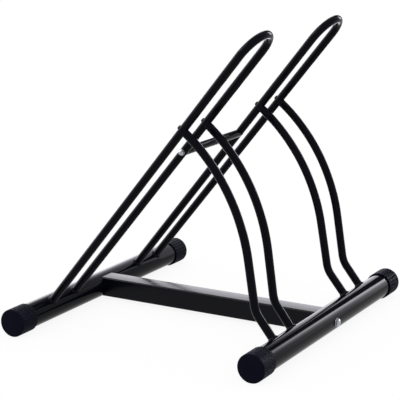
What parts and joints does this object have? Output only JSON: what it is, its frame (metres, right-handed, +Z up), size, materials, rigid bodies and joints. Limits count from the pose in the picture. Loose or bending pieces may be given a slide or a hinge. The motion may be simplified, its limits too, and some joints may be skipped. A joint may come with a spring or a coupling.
{
  "type": "floor bike rack",
  "caption": "Floor bike rack of bent black steel tube: wheels roll in between the legs of leaning hoops, which arched tubes prop up.",
  "frame": {"origin": "on the floor, under the middle of the bounding box", "axes": "+X from the rear foot, which carries the hoops, to the front foot, which carries the arches; +Y along the feet to the left; +Z up"},
  "size_m": [0.571, 0.616, 0.5902],
  "materials": {
    "powder_coat": "semi-gloss black powder coat",
    "cap_plastic": "fine-grained moulded plastic",
    "zinc_plate": "bright zinc plate",
    "black_screw": "blackened steel",
    "plain_steel": "plain machined steel"
  },
  "bodies": {
    "root": {"right_hoop": "powder_coat", "left_hoop": "powder_coat", "right_outer_arch": "powder_coat", "right_inner_arch": "powder_coat", "left_inner_arch": "powder_coat", "left_outer_arch": "powder_coat", "rear_foot_tube": "powder_coat", "front_foot_tube": "powder_coat", "crossbar": "powder_coat", "brace_tube": "powder_coat", "rear_right_cap": "cap_plastic", "rear_left_cap": "cap_plastic", "front_right_cap": "cap_plastic", "front_left_cap": "cap_plastic", "rear_crossbar_bolt": "zinc_plate", "front_crossbar_bolt": "zinc_plate", "rear_crossbar_washer": "zinc_plate", "front_crossbar_washer": "zinc_plate", "right_brace_bolt": "zinc_plate", "left_brace_bolt": "zinc_plate", "right_brace_washer": "zinc_plate", "left_brace_washer": "zinc_plate", "right_outer_arch_bolt": "black_screw", "right_inner_arch_bolt": "black_screw", "left_inner_arch_bolt": "black_screw", "left_outer_arch_bolt": "black_screw", "right_outer_arch_plug": "plain_steel", "right_inner_arch_plug": "plain_steel", "left_inner_arch_plug": "plain_steel", "left_outer_arch_plug": "plain_steel", "right_brace_plug": "plain_steel", "left_brace_plug": "plain_steel", "rear_nut_plate": "plain_steel", "front_nut_plate": "plain_steel"}
  },
  "joints": []
}
